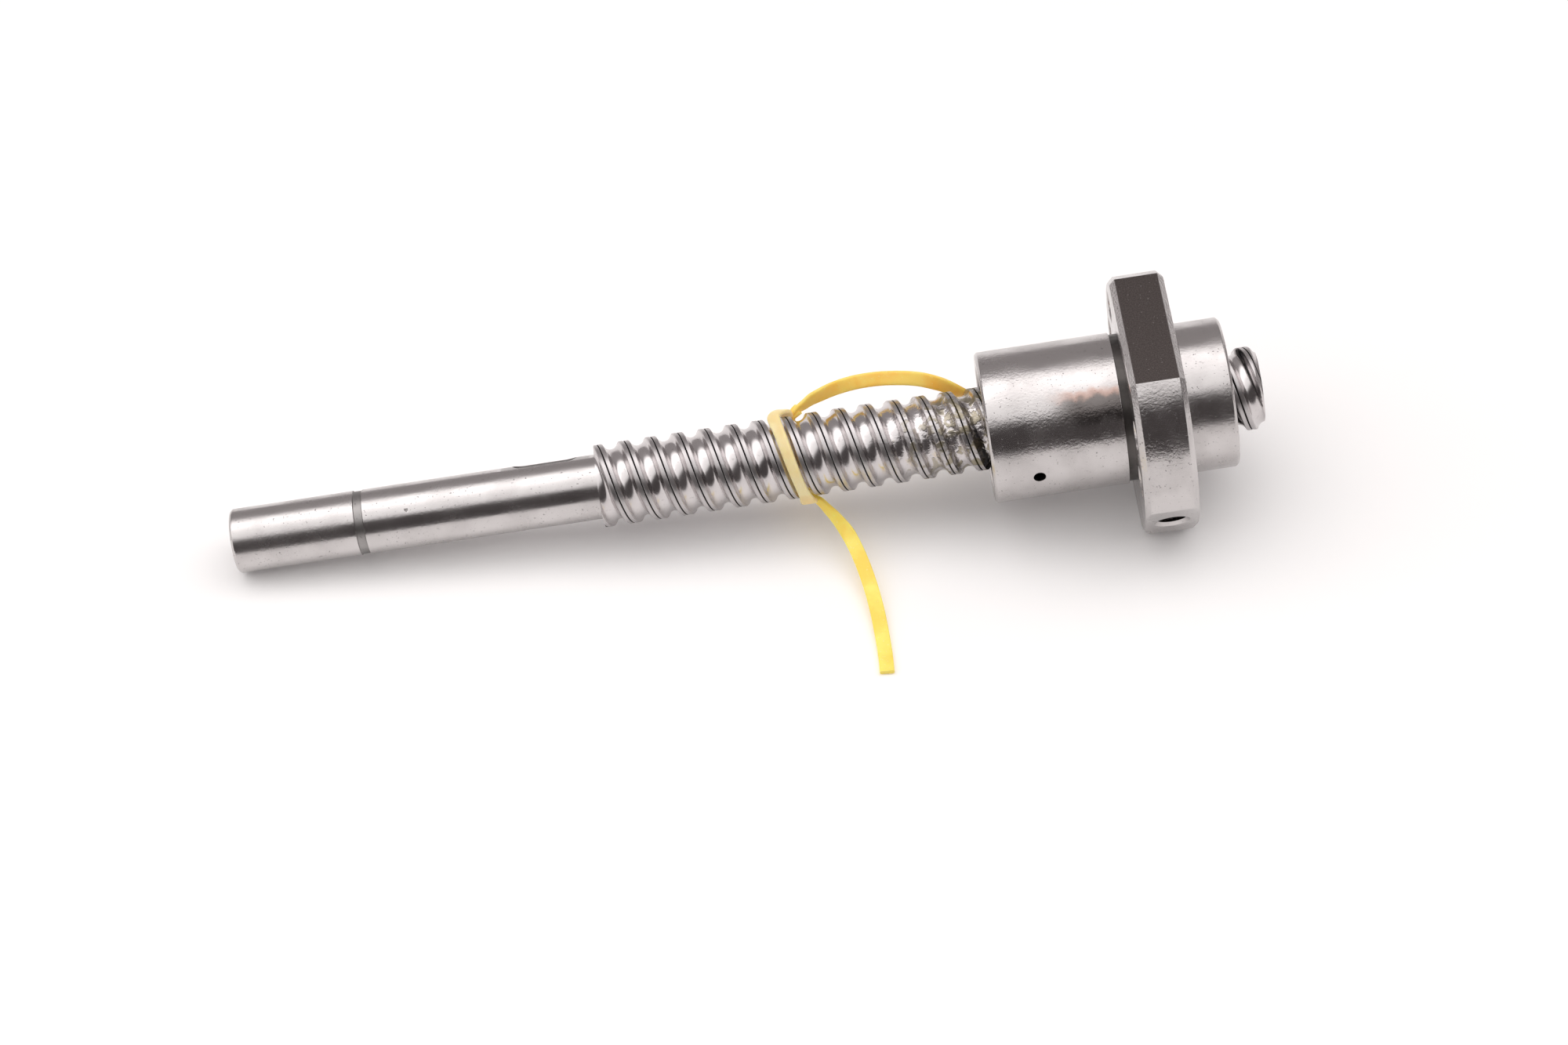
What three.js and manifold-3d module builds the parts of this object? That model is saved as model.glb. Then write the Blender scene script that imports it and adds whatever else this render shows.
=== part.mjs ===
// Ball screw assembly: a two-start rolled screw shaft with a plain journal, and a flanged ball nut on it.
// Frame, in millimetres: X runs along the screw from the journal's end face towards the nut,
// Z is square to the two flats of the flange, and angles turn about +X from +Y towards +Z.
import * as THREE from "three";
import { mergeVertices } from "three/addons/utils/BufferGeometryUtils.js";
import Module from "manifold-3d";

const wasm = await Module();
wasm.setup();

// Thread: two starts, right-hand.
const LEAD = 10;
const STARTS = 2;
const PITCH = LEAD / STARTS;
const GROOVE_PHASE = 0.21; // x of a groove's centre line at angle 0
const CREST_RADIUS = 7.68;
const BALL_RADIUS = 3.175 / 2;
const BALL_CIRCLE_RADIUS = 8.1;
const GROOVE_RADIUS = 1.84; // of the ball track's section, with running clearance round the ball
const TRACK_FLOOR = 0.7; // half width of the track's flat floor
const SCREW_SHOULDER = 1.9; // from a track's centre line to the screw's land
const NUT_SHOULDER = 1.65; // from a track's centre line to the nut's land
const RUNNING_GAP = 0.3;
const NUT_BORE_RADIUS = CREST_RADIUS + RUNNING_GAP + 0.1;
const THREAD_SEGMENTS = 18; // in each turn

// Screw shaft.
const SHAFT_LENGTH = 191.2;
const THREAD_START = 68.4;
const THREAD_END_CHAMFER = 1;
const JOURNAL_RADIUS = 6;
const JOURNAL_CHAMFER = 0.5;
const RING_GROOVE = { from: 23.2, to: 24.7, depth: 0.15 };
const KEYWAY = { from: 53, to: 65, width: 4, depth: 2.5, angle: THREE.MathUtils.degToRad(48) };

// Nut: a cylinder, a flange with two flats, and a spigot behind the flange.
const NUT_LEFT = 140.2;
const FLANGE_LEFT = 166.4;
const FLANGE_RIGHT = 176.4;
const NUT_RIGHT = 185.4;
const NUT_RADIUS = 14;
const SPIGOT_RADIUS = 13.85;
const NUT_CHAMFER = 0.5;
const RELIEF = { width: 1.4, radius: 13.6 };
const SPIGOT_RELIEF = { width: 0.5, radius: 13.5 };
const FLANGE_RADIUS = 24;
const FLANGE_FLAT = 20; // from the axis to each flat
const FLANGE_CHAMFER = 1;
const BOLT_CIRCLE_RADIUS = 19;
const BOLT_HOLE_RADIUS = 2.75;
const BOLT_ANGLES = [-30, 0, 30, 150, 180].map(THREE.MathUtils.degToRad);
const HOLE_CHAMFER = 0.4;

// Lubrication port in the flange's rim, on a spot flat, and the small hole in the nut's wall.
const PORT = { angle: THREE.MathUtils.degToRad(207.6), flat: 22.75, radius: 2.5, mouth: 3.25, floor: 15 };
const OIL_WAY_RADIUS = 1.1;
const INSIDE_BORE = CREST_RADIUS - 1; // where a cutter for a radial hole ends
const WALL_HOLE = { x: 148.6, angle: Math.PI, radius: 1.15 };

// Seals: each end of the nut has a counterbore with a wiper, held by a snap ring.
const SEAT_DEPTH = 5.3;
const SEAT_RADIUS = 11.3;
const RING_SEAT = { from: 0.7, to: 2.2, radius: 12 };
const RING_THICKNESS = 0.9;
const RING_OUTER = 11.7;
const RING_INNER = 10.2;
const RING_OPENING = THREE.MathUtils.degToRad(50);
const LUG = { radius: 1.4, centre: 10.1, hole: 0.6 };
const WIPER_LENGTH = 2.5;

// Ball circuits: each is one turn of a groove, closed by a deflector that lifts the balls over two crests.
const FIRST_CIRCUIT = 29; // which groove line it follows, counted along X
const CIRCUITS = 3;
const BALLS_PER_CIRCUIT = 15;
const FIRST_DEFLECTOR_ANGLE = Math.PI;
const DEFLECTOR_STEP = Math.PI / 2;
const CROSSING_ARC = THREE.MathUtils.degToRad(72);
const BALL_LIFT = 1.42;
const LIFT_SHARE = 0.22; // of the crossing, at each end
const DEFLECTOR_HALF_WIDTH = 2.9;
const DEFLECTOR_OUTER = 12.6;
const DEFLECTOR_OVERRUN = 0.14; // of the crossing, past each end
const CHANNEL_FROM = -0.24; // of the crossing: the channel starts before the deflector and ends after it
const CHANNEL_STEP = 0.08;
const CHANNEL_POINTS = 19;
const END_TAPER = 0.85;
const HELIX_STEPS = 36;
const CROSSING_STEPS = 18;

// Rubber strip: one loop round the screw and two free tails.
const STRIP_WIDTH = 2.7;
const STRIP_THICKNESS = 0.9;
const TAIL_RADIUS = 0.9;
const LOOP = {
  line: 20, // the groove line that its near side lies in
  from: THREE.MathUtils.degToRad(60),
  to: THREE.MathUtils.degToRad(205),
  sunk: 7.15, // inner radius in the groove
  raised: 8, // inner radius over the crests
  ramp: THREE.MathUtils.degToRad(15),
};
const UPPER_TAIL = [
  [105.7, 8.6, 2.4], [106.7, 8.7, 3.3], [107.9, 8.8, 4.1], [109.2, 9, 4.9], [110.7, 9.1, 5.6],
  [113.9, 9.4, 6.6], [117.9, 9.7, 7.1], [122.1, 9.9, 6.9], [126.2, 9.9, 6.2], [129.7, 9.9, 5.1],
  [132.7, 9.7, 3.6], [134.1, 9.6, 2.7], [135.4, 9.5, 1.7], [137.3, 9.3, 0.2], [138.4, 9.2, -1],
];
const LOWER_TAIL = [
  [108.1, -5.3, -7.2], [108.7, -6.1, -7.4], [109.4, -7.1, -7.8], [110.3, -8.3, -8.3],
  [111.3, -9.8, -9], [112.2, -11.4, -9.7], [112.9, -13, -10.4], [113.9, -16.2, -11.6],
  [114.7, -19.8, -12.6], [115.3, -23.6, -13.4], [115.7, -27.6, -14], [115.9, -31.6, -14.4],
  [116, -35.7, -14.6], [116, -38.7, -14.7], [115.9, -41.6, -14.7],
];

const STEEL = { color: 0xb9b4b4, roughness: 0.28, metalness: 1 };
const BRIGHT_STEEL = { color: 0xd8d5d6, roughness: 0.12, metalness: 1 };
const PLASTIC = { color: 0x2c2f33, roughness: 0.5, metalness: 0 };
const SPRING_STEEL = { color: 0x5d5a58, roughness: 0.4, metalness: 1 };
const RUBBER = { color: 0xe8bf55, roughness: 0.6, metalness: 0 };

// A point at an angle round the screw's axis.
function around(x, radius, angle) {
  return new THREE.Vector3(x, radius * Math.cos(angle), radius * Math.sin(angle));
}

// Where a groove's centre line is at an angle; angles may pass a full turn.
function grooveX(line, angle) {
  return GROOVE_PHASE + PITCH * line + (LEAD * angle) / (2 * Math.PI);
}

function solidOf(geometry) {
  const bare = geometry.clone();
  bare.deleteAttribute("normal");
  bare.deleteAttribute("uv");
  const merged = mergeVertices(bare, 1e-4);
  return new wasm.Manifold(
    new wasm.Mesh({
      numProp: 3,
      vertProperties: new Float32Array(merged.attributes.position.array),
      triVerts: new Uint32Array(merged.index.array),
    }),
  );
}

function geometryOf(solid) {
  const { vertProperties, triVerts } = solid.getMesh();
  const geometry = new THREE.BufferGeometry();
  geometry.setAttribute("position", new THREE.BufferAttribute(vertProperties, 3));
  geometry.setIndex(new THREE.BufferAttribute(triVerts, 1));
  geometry.computeVertexNormals();
  return geometry;
}

// A solid of revolution about X; the profile's [x, radius] points start and end on the axis.
function turned(profile, segments = 36) {
  const points = profile.map(([x, radius]) => new THREE.Vector2(radius, x));
  return new THREE.LatheGeometry(points, segments).rotateZ(-Math.PI / 2);
}

// A plain disc or bar about X.
function disc(from, to, radius, segments) {
  return turned([[from, 0], [from, radius], [to, radius], [to, 0]], segments);
}

// A cutter for a straight hole with chamfered mouths, from one x to the other.
function drill(radius, from, to, chamfer, segments = 12) {
  const beyond = 1;
  const flare = radius + chamfer + beyond;
  const profile = [
    [from - beyond, 0],
    [from - beyond, flare],
    [from + chamfer, radius],
    [to - chamfer, radius],
    [to + beyond, flare],
    [to + beyond, 0],
  ];
  return turned(profile, segments);
}

// Turns a shape that is modelled along X so that it points away from the axis at an angle.
function radial(geometry, x, angle) {
  const out = around(0, 1, angle);
  const along = new THREE.Vector3(1, 0, 0);
  const turn = new THREE.Matrix4().makeBasis(out, along, new THREE.Vector3().crossVectors(out, along));
  return geometry.applyMatrix4(turn).translate(x, 0, 0);
}

// An outline in the plane across the screw, extruded along X.
function extruded(shape, from, length, options = {}) {
  const geometry = new THREE.ExtrudeGeometry(shape, { depth: length, bevelEnabled: false, ...options });
  const across = new THREE.Matrix4().makeBasis(
    new THREE.Vector3(0, 1, 0),
    new THREE.Vector3(0, 0, 1),
    new THREE.Vector3(1, 0, 0),
  );
  return geometry.applyMatrix4(across).translate(from, 0, 0);
}

// A long threaded bar. The profile's [offset, radius] points cover one pitch from a groove's centre.
function threadedBar(profile, from, to) {
  const columns = [];
  for (let start = 0; start < STARTS; start += 1) {
    profile.forEach(([offset, radius]) => columns.push([offset + start * PITCH, radius]));
  }
  const firstX = GROOVE_PHASE + LEAD * (Math.floor((from - GROOVE_PHASE) / LEAD) - 2);
  const rows = THREAD_SEGMENTS * Math.ceil((to - firstX) / LEAD + 1);
  const positions = [];
  const faces = [];
  const ids = [];
  const addPoint = (x, radius, angle) => positions.push(...around(x, radius, angle).toArray()) / 3 - 1;
  for (let row = 0; row <= rows + THREAD_SEGMENTS; row += 1) {
    const turn = row / THREAD_SEGMENTS;
    const x = firstX + LEAD * turn;
    const angle = 2 * Math.PI * turn;
    const shown = row > rows ? columns.slice(0, 1) : columns;
    ids.push(shown.map(([offset, radius]) => addPoint(x + offset, radius, angle)));
  }
  // The column after the last one of a turn is the first column of the turn after it.
  const id = (row, column) => (column < columns.length ? ids[row][column] : ids[row + THREAD_SEGMENTS][0]);
  for (let row = 0; row < rows; row += 1) {
    for (let column = 0; column < columns.length; column += 1) {
      faces.push(id(row, column), id(row + 1, column), id(row + 1, column + 1));
      faces.push(id(row, column), id(row + 1, column + 1), id(row, column + 1));
    }
  }
  const nearCap = addPoint(firstX + LEAD / 2, 0, 0);
  const farCap = addPoint(firstX + LEAD * (rows / THREAD_SEGMENTS + 0.5), 0, 0);
  for (let column = 0; column < columns.length; column += 1) {
    faces.push(nearCap, id(0, column), id(0, column + 1));
    faces.push(farCap, id(rows, column + 1), id(rows, column));
  }
  for (let step = 0; step < THREAD_SEGMENTS; step += 1) {
    faces.push(nearCap, ids[step + 1][0], ids[step][0]);
    faces.push(farCap, ids[rows + step][0], ids[rows + step + 1][0]);
  }
  const geometry = new THREE.BufferGeometry();
  geometry.setAttribute("position", new THREE.Float32BufferAttribute(positions, 3));
  geometry.setIndex(faces);
  return solidOf(geometry);
}

// The height of a ball track's round floor at a distance from its centre line.
function trackDepth(offset) {
  return Math.sqrt(GROOVE_RADIUS ** 2 - offset ** 2);
}

// Completes a pitch from its first half, [offset, radius] points from a track's centre line.
function bothFlanks(half) {
  return [...half, ...half.map(([offset, radius]) => [PITCH - offset, radius]).reverse()];
}

// The screw's outside over one pitch, grown by a gap: a track, its flanks and a land.
function screwProfile(gap) {
  const half = [
    [TRACK_FLOOR, BALL_CIRCLE_RADIUS - trackDepth(TRACK_FLOOR) + gap],
    [SCREW_SHOULDER - gap / 2, CREST_RADIUS + gap],
  ];
  return bothFlanks(half);
}

// The nut's thread as a cutter over one pitch: a ridge that clears the balls, and a bore that
// clears the screw's crests.
function nutCutterProfile() {
  const half = [TRACK_FLOOR, NUT_SHOULDER].map((offset) => [
    offset,
    Math.max(NUT_BORE_RADIUS, BALL_CIRCLE_RADIUS + trackDepth(offset)),
  ]);
  return bothFlanks(half);
}

// A block that follows a crossing round the axis, from one radius to another. Its width tapers at
// its ends, and a gap makes it wider and longer.
function blockAlong(path, gap, inner, outer) {
  const steps = 14;
  const positions = [];
  const faces = [];
  const unrolled = (share) => {
    const { x, angle } = path(share);
    return new THREE.Vector2(x, angle * BALL_CIRCLE_RADIUS);
  };
  for (let step = 0; step <= steps; step += 1) {
    const along = (2 * step) / steps - 1;
    const share = 0.5 + along * (0.5 + DEFLECTOR_OVERRUN);
    const heading = unrolled(share + 0.01).sub(unrolled(share - 0.01)).normalize();
    const centre = unrolled(share).addScaledVector(heading, Math.trunc(along) * gap);
    const sideways = new THREE.Vector2(-heading.y, heading.x);
    const width = DEFLECTOR_HALF_WIDTH * Math.sqrt(1 - END_TAPER * along ** 6) + gap;
    [[-1, inner], [1, inner], [1, outer], [-1, outer]].forEach(([side, radius]) => {
      const at = centre.clone().addScaledVector(sideways, side * width);
      positions.push(...around(at.x, radius, at.y / BALL_CIRCLE_RADIUS).toArray());
    });
  }
  for (let step = 0; step < steps; step += 1) {
    for (let corner = 0; corner < 4; corner += 1) {
      const a = 4 * step + corner;
      const b = 4 * step + ((corner + 1) % 4);
      faces.push(a, a + 4, b + 4, a, b + 4, b);
    }
  }
  const last = 4 * steps;
  faces.push(0, 1, 2, 0, 2, 3, last, last + 2, last + 1, last, last + 3, last + 2);
  const geometry = new THREE.BufferGeometry();
  geometry.setAttribute("position", new THREE.Float32BufferAttribute(positions, 3));
  geometry.setIndex(faces);
  return solidOf(geometry);
}

// A ball circuit: where its groove line is, and the crossing that takes the balls back by one turn.
function circuit(number) {
  const { smoothstep } = THREE.MathUtils;
  const line = FIRST_CIRCUIT + number;
  const middle = FIRST_DEFLECTOR_ANGLE + DEFLECTOR_STEP * number; // of the deflector
  const crossingStart = middle - CROSSING_ARC / 2 + 2 * Math.PI;
  const crossing = (share) => {
    const angle = crossingStart + CROSSING_ARC * share;
    const back = LEAD * smoothstep(share, 0, 1);
    const rise = smoothstep(share, 0, LIFT_SHARE) - smoothstep(share, 1 - LIFT_SHARE, 1);
    return { x: grooveX(line, angle) - back, angle, radius: BALL_CIRCLE_RADIUS + BALL_LIFT * rise };
  };
  const points = [];
  const helixArc = 2 * Math.PI - CROSSING_ARC;
  for (let step = 0; step < HELIX_STEPS; step += 1) {
    const angle = middle + CROSSING_ARC / 2 + (helixArc * step) / HELIX_STEPS;
    points.push(around(grooveX(line, angle), BALL_CIRCLE_RADIUS, angle));
  }
  for (let step = 0; step < CROSSING_STEPS; step += 1) {
    const { x, radius, angle } = crossing(step / CROSSING_STEPS);
    points.push(around(x, radius, angle));
  }
  const channelPoints = [];
  for (let step = 0; step < CHANNEL_POINTS; step += 1) {
    const { x, radius, angle } = crossing(CHANNEL_FROM + CHANNEL_STEP * step);
    channelPoints.push(around(x, radius, angle));
  }
  return { crossing, loop: new THREE.CatmullRomCurve3(points, true), channelPoints };
}

const circuits = Array.from({ length: CIRCUITS }, (_, number) => circuit(number));

function screwShaft() {
  const thread = threadedBar(screwProfile(0), THREAD_START, SHAFT_LENGTH);
  const clear = CREST_RADIUS + 2;
  const envelope = turned([
    [THREAD_START, 0],
    [THREAD_START, clear],
    [SHAFT_LENGTH - THREAD_END_CHAMFER - (clear - CREST_RADIUS), clear],
    [SHAFT_LENGTH, CREST_RADIUS - THREAD_END_CHAMFER],
    [SHAFT_LENGTH, 0],
  ]);
  const groove = JOURNAL_RADIUS - RING_GROOVE.depth;
  const journal = turned([
    [0, 0],
    [0, JOURNAL_RADIUS - JOURNAL_CHAMFER],
    [JOURNAL_CHAMFER, JOURNAL_RADIUS],
    [RING_GROOVE.from, JOURNAL_RADIUS],
    [RING_GROOVE.from, groove],
    [RING_GROOVE.to, groove],
    [RING_GROOVE.to, JOURNAL_RADIUS],
    [THREAD_START + LEAD, JOURNAL_RADIUS],
    [THREAD_START + LEAD, 0],
  ]);
  const halfWidth = KEYWAY.width / 2;
  const slot = new THREE.Shape();
  slot.absarc(KEYWAY.from + halfWidth, 0, halfWidth, Math.PI / 2, (3 * Math.PI) / 2);
  slot.absarc(KEYWAY.to - halfWidth, 0, halfWidth, -Math.PI / 2, Math.PI / 2);
  const key = new THREE.ExtrudeGeometry(slot, { depth: 10, bevelEnabled: false, curveSegments: 6 })
    .translate(0, 0, JOURNAL_RADIUS - KEYWAY.depth)
    .rotateX(KEYWAY.angle - Math.PI / 2);
  const body = thread.intersect(solidOf(envelope)).add(solidOf(journal)).subtract(solidOf(key));
  return geometryOf(body);
}

function flangeBlank() {
  const halfAngle = Math.asin(FLANGE_FLAT / FLANGE_RADIUS);
  const outline = new THREE.Shape();
  outline.absarc(0, 0, FLANGE_RADIUS, -halfAngle, halfAngle);
  outline.absarc(0, 0, FLANGE_RADIUS, Math.PI - halfAngle, Math.PI + halfAngle);
  const thickness = FLANGE_RIGHT - FLANGE_LEFT;
  return extruded(outline, FLANGE_LEFT + FLANGE_CHAMFER, thickness - 2 * FLANGE_CHAMFER, {
    bevelEnabled: true,
    bevelThickness: FLANGE_CHAMFER,
    bevelSize: FLANGE_CHAMFER,
    bevelOffset: -FLANGE_CHAMFER,
    bevelSegments: 1,
    curveSegments: 16,
  });
}

function barrelBlank() {
  return turned([
    [NUT_LEFT, 0],
    [NUT_LEFT, NUT_RADIUS - NUT_CHAMFER],
    [NUT_LEFT + NUT_CHAMFER, NUT_RADIUS],
    [FLANGE_LEFT - RELIEF.width, NUT_RADIUS],
    [FLANGE_LEFT - RELIEF.width, RELIEF.radius],
    [FLANGE_RIGHT + SPIGOT_RELIEF.width, SPIGOT_RELIEF.radius],
    [FLANGE_RIGHT + SPIGOT_RELIEF.width, SPIGOT_RADIUS],
    [NUT_RIGHT - NUT_CHAMFER, SPIGOT_RADIUS],
    [NUT_RIGHT, SPIGOT_RADIUS - NUT_CHAMFER],
    [NUT_RIGHT, 0],
  ]);
}

// The counterbore and the snap ring's groove at one end; side is 1 at the left end and -1 at the right.
function sealSeat(face, side) {
  const at = (depth) => face + side * depth;
  const profile = [
    [at(-1), 0],
    [at(-1), SEAT_RADIUS],
    [at(RING_SEAT.from), SEAT_RADIUS],
    [at(RING_SEAT.from), RING_SEAT.radius],
    [at(RING_SEAT.to), RING_SEAT.radius],
    [at(RING_SEAT.to), SEAT_RADIUS],
    [at(SEAT_DEPTH), SEAT_RADIUS],
    [at(SEAT_DEPTH), 0],
  ];
  return turned(side > 0 ? profile : profile.reverse(), 24);
}

function lubricationPort() {
  const middle = (FLANGE_LEFT + FLANGE_RIGHT) / 2;
  const flare = PORT.mouth + 2;
  const hole = turned(
    [
      [INSIDE_BORE, 0],
      [INSIDE_BORE, OIL_WAY_RADIUS],
      [PORT.floor, OIL_WAY_RADIUS],
      [PORT.floor, PORT.radius],
      [PORT.flat - PORT.mouth + PORT.radius, PORT.radius],
      [PORT.flat - PORT.mouth + flare, flare],
      [FLANGE_RADIUS + flare, flare],
      [FLANGE_RADIUS + flare, 0],
    ],
    12,
  );
  const spotDepth = 4;
  const spot = new THREE.BoxGeometry(spotDepth, FLANGE_RIGHT - FLANGE_LEFT + 2, FLANGE_RADIUS);
  spot.translate(PORT.flat + spotDepth / 2, 0, 0);
  return solidOf(radial(hole, middle, PORT.angle)).add(solidOf(radial(spot, middle, PORT.angle)));
}

function channel(points) {
  const section = new THREE.Shape().absarc(0, 0, GROOVE_RADIUS, 0, 2 * Math.PI);
  const path = new THREE.CatmullRomCurve3(points);
  const options = { extrudePath: path, steps: 16, bevelEnabled: false, curveSegments: 4 };
  return solidOf(new THREE.ExtrudeGeometry(section, options));
}

function nutBody() {
  let body = solidOf(barrelBlank()).add(solidOf(flangeBlank()));
  const overrun = 0.5;
  const threadFrom = NUT_LEFT + SEAT_DEPTH - overrun;
  const threadTo = NUT_RIGHT - SEAT_DEPTH + overrun;
  const cutter = threadedBar(nutCutterProfile(), threadFrom, threadTo);
  const reach = disc(threadFrom, threadTo, NUT_RADIUS, 12);
  body = body.subtract(cutter.intersect(solidOf(reach)));
  body = body.subtract(solidOf(sealSeat(NUT_LEFT, 1))).subtract(solidOf(sealSeat(NUT_RIGHT, -1)));
  circuits.forEach(({ crossing }) => {
    body = body.subtract(blockAlong(crossing, RUNNING_GAP, INSIDE_BORE, DEFLECTOR_OUTER + RUNNING_GAP));
  });
  BOLT_ANGLES.forEach((angle) => {
    const { y, z } = around(0, BOLT_CIRCLE_RADIUS, angle);
    const hole = drill(BOLT_HOLE_RADIUS, FLANGE_LEFT, FLANGE_RIGHT, HOLE_CHAMFER).translate(0, y, z);
    body = body.subtract(solidOf(hole));
  });
  const wallHole = disc(INSIDE_BORE, NUT_RADIUS + 2, WALL_HOLE.radius, 10);
  body = body.subtract(solidOf(radial(wallHole, WALL_HOLE.x, WALL_HOLE.angle)));
  return geometryOf(body.subtract(lubricationPort()));
}

function deflector({ crossing, channelPoints }) {
  const block = blockAlong(crossing, 0, CREST_RADIUS + RUNNING_GAP, DEFLECTOR_OUTER);
  return geometryOf(block.subtract(channel(channelPoints)));
}

// A wiper ring whose bore follows the thread with a running gap.
function wiper(from) {
  const outer = SEAT_RADIUS - RUNNING_GAP;
  const blank = disc(from, from + WIPER_LENGTH, outer, 24);
  const cutter = threadedBar(screwProfile(RUNNING_GAP), from - 1, from + WIPER_LENGTH + 1);
  return geometryOf(solidOf(blank).subtract(cutter));
}

// An internal snap ring: a split ring with a lug and a plier hole at each end, its opening upwards.
function snapRing(from) {
  const half = RING_OPENING / 2;
  const split = Math.PI / 2;
  const outline = new THREE.Shape();
  outline.absarc(0, 0, RING_OUTER, split + half, split - half + 2 * Math.PI);
  outline.absarc(0, 0, RING_INNER, split - half + 2 * Math.PI, split + half, true);
  let ring = solidOf(extruded(outline, from, RING_THICKNESS, { curveSegments: 16 }));
  [split + half, split - half].forEach((angle) => {
    const { y, z } = around(0, LUG.centre, angle);
    const lug = disc(from, from + RING_THICKNESS, LUG.radius, 14);
    ring = ring.add(solidOf(lug.translate(0, y, z)));
    ring = ring.subtract(solidOf(drill(LUG.hole, from, from + RING_THICKNESS, 0, 8).translate(0, y, z)));
  });
  return geometryOf(ring);
}

// The strip's loop: sunk in a groove on the near side, and over the crests on its way back.
function stripLoop() {
  const steps = 40;
  const positions = [];
  const faces = [];
  const { lerp, smoothstep } = THREE.MathUtils;
  const away = 2 * Math.PI - (LOOP.to - LOOP.from);
  const half = STRIP_WIDTH / 2;
  for (let step = 0; step < steps; step += 1) {
    const angle = LOOP.from + (2 * Math.PI * step) / steps;
    const share = Math.max(0, (angle - LOOP.to) / away);
    const back = lerp(grooveX(LOOP.line, LOOP.to), grooveX(LOOP.line, LOOP.from), share);
    const x = share ? back : grooveX(LOOP.line, angle);
    const rampIn = smoothstep(angle, LOOP.from, LOOP.from + LOOP.ramp);
    const rampOut = smoothstep(angle, LOOP.to - LOOP.ramp, LOOP.to);
    const inner = lerp(LOOP.raised, LOOP.sunk, rampIn - rampOut);
    const outer = inner + STRIP_THICKNESS;
    [[-half, inner], [-half, outer], [half, outer], [half, inner]].forEach(([side, radius]) => {
      positions.push(...around(x + side, radius, angle).toArray());
    });
  }
  for (let step = 0; step < steps; step += 1) {
    for (let corner = 0; corner < 4; corner += 1) {
      const next = (corner + 1) % 4;
      const here = 4 * step;
      const there = 4 * ((step + 1) % steps);
      faces.push(here + corner, there + corner, there + next, here + corner, there + next, here + next);
    }
  }
  const geometry = new THREE.BufferGeometry();
  geometry.setAttribute("position", new THREE.Float32BufferAttribute(positions, 3));
  geometry.setIndex(faces);
  return geometry;
}

function stripTail(route) {
  const path = new THREE.CatmullRomCurve3(route.map((point) => new THREE.Vector3(...point)));
  const section = new THREE.Shape().absarc(0, 0, TAIL_RADIUS, 0, 2 * Math.PI);
  const options = { extrudePath: path, steps: 14, bevelEnabled: false, curveSegments: 4 };
  return new THREE.ExtrudeGeometry(section, options);
}

const shaft = screwShaft();
const nut = nutBody();
const object = new THREE.Group();

function add(parent, name, geometry, finish) {
  const mesh = new THREE.Mesh(geometry, new THREE.MeshStandardMaterial(finish));
  mesh.name = name;
  parent.add(mesh);
  return mesh;
}

const screwGroup = new THREE.Group();
const nutGroup = new THREE.Group();
object.add(screwGroup, nutGroup);

add(screwGroup, "screw_shaft", shaft, BRIGHT_STEEL);
add(screwGroup, "strip_loop", stripLoop(), RUBBER);
add(screwGroup, "strip_tail_upper", stripTail(UPPER_TAIL), RUBBER);
add(screwGroup, "strip_tail_lower", stripTail(LOWER_TAIL), RUBBER);
add(nutGroup, "nut_body", nut, STEEL);
circuits.forEach((data, number) => {
  add(nutGroup, `ball_return_deflector_${number + 1}`, deflector(data), PLASTIC);
  const ball = new THREE.SphereGeometry(BALL_RADIUS, 8, 4);
  data.loop.getSpacedPoints(BALLS_PER_CIRCUIT).slice(0, BALLS_PER_CIRCUIT).forEach((centre, index) => {
    const name = `ball_${number + 1}_${String(index + 1).padStart(2, "0")}`;
    add(nutGroup, name, ball, BRIGHT_STEEL).position.copy(centre);
  });
});
const ringInset = RING_SEAT.from + (RING_SEAT.to - RING_SEAT.from - RING_THICKNESS) / 2;
const wiperInset = SEAT_DEPTH - RUNNING_GAP;
add(nutGroup, "wiper_left", wiper(NUT_LEFT + wiperInset - WIPER_LENGTH), PLASTIC);
add(nutGroup, "wiper_right", wiper(NUT_RIGHT - wiperInset), PLASTIC);
add(nutGroup, "snap_ring_left", snapRing(NUT_LEFT + ringInset), SPRING_STEEL);
add(nutGroup, "snap_ring_right", snapRing(NUT_RIGHT - ringInset - RING_THICKNESS), SPRING_STEEL);

export default object;
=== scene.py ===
"""The looks of a ball screw assembly: a two-start screw, a flanged nut and a yellow rubber strip.

Shapes are in millimetres in the CAD model's own frame, and MM turns them into metres. Angles turn
about +X, from +Y towards +Z.
"""

import math

import bmesh
import bpy
import numpy as np
from mathutils import Matrix, Vector


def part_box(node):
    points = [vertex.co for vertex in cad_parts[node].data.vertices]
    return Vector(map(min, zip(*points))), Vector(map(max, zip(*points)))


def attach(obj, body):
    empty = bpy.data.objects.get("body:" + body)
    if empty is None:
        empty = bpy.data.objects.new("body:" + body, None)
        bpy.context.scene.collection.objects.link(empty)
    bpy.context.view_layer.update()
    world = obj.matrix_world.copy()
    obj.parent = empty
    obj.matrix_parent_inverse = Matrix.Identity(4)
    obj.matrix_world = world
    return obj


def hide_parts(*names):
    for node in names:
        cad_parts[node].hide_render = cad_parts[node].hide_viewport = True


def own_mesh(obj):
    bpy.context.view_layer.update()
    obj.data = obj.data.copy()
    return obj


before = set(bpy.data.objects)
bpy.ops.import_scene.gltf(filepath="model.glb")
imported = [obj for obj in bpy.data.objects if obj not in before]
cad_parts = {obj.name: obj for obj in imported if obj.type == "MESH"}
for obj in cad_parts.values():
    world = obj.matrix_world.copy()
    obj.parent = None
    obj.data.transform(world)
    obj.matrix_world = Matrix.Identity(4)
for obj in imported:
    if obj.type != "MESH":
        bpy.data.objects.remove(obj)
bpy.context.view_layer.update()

MM = 0.001
FULL_TURN = 2 * math.pi
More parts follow.
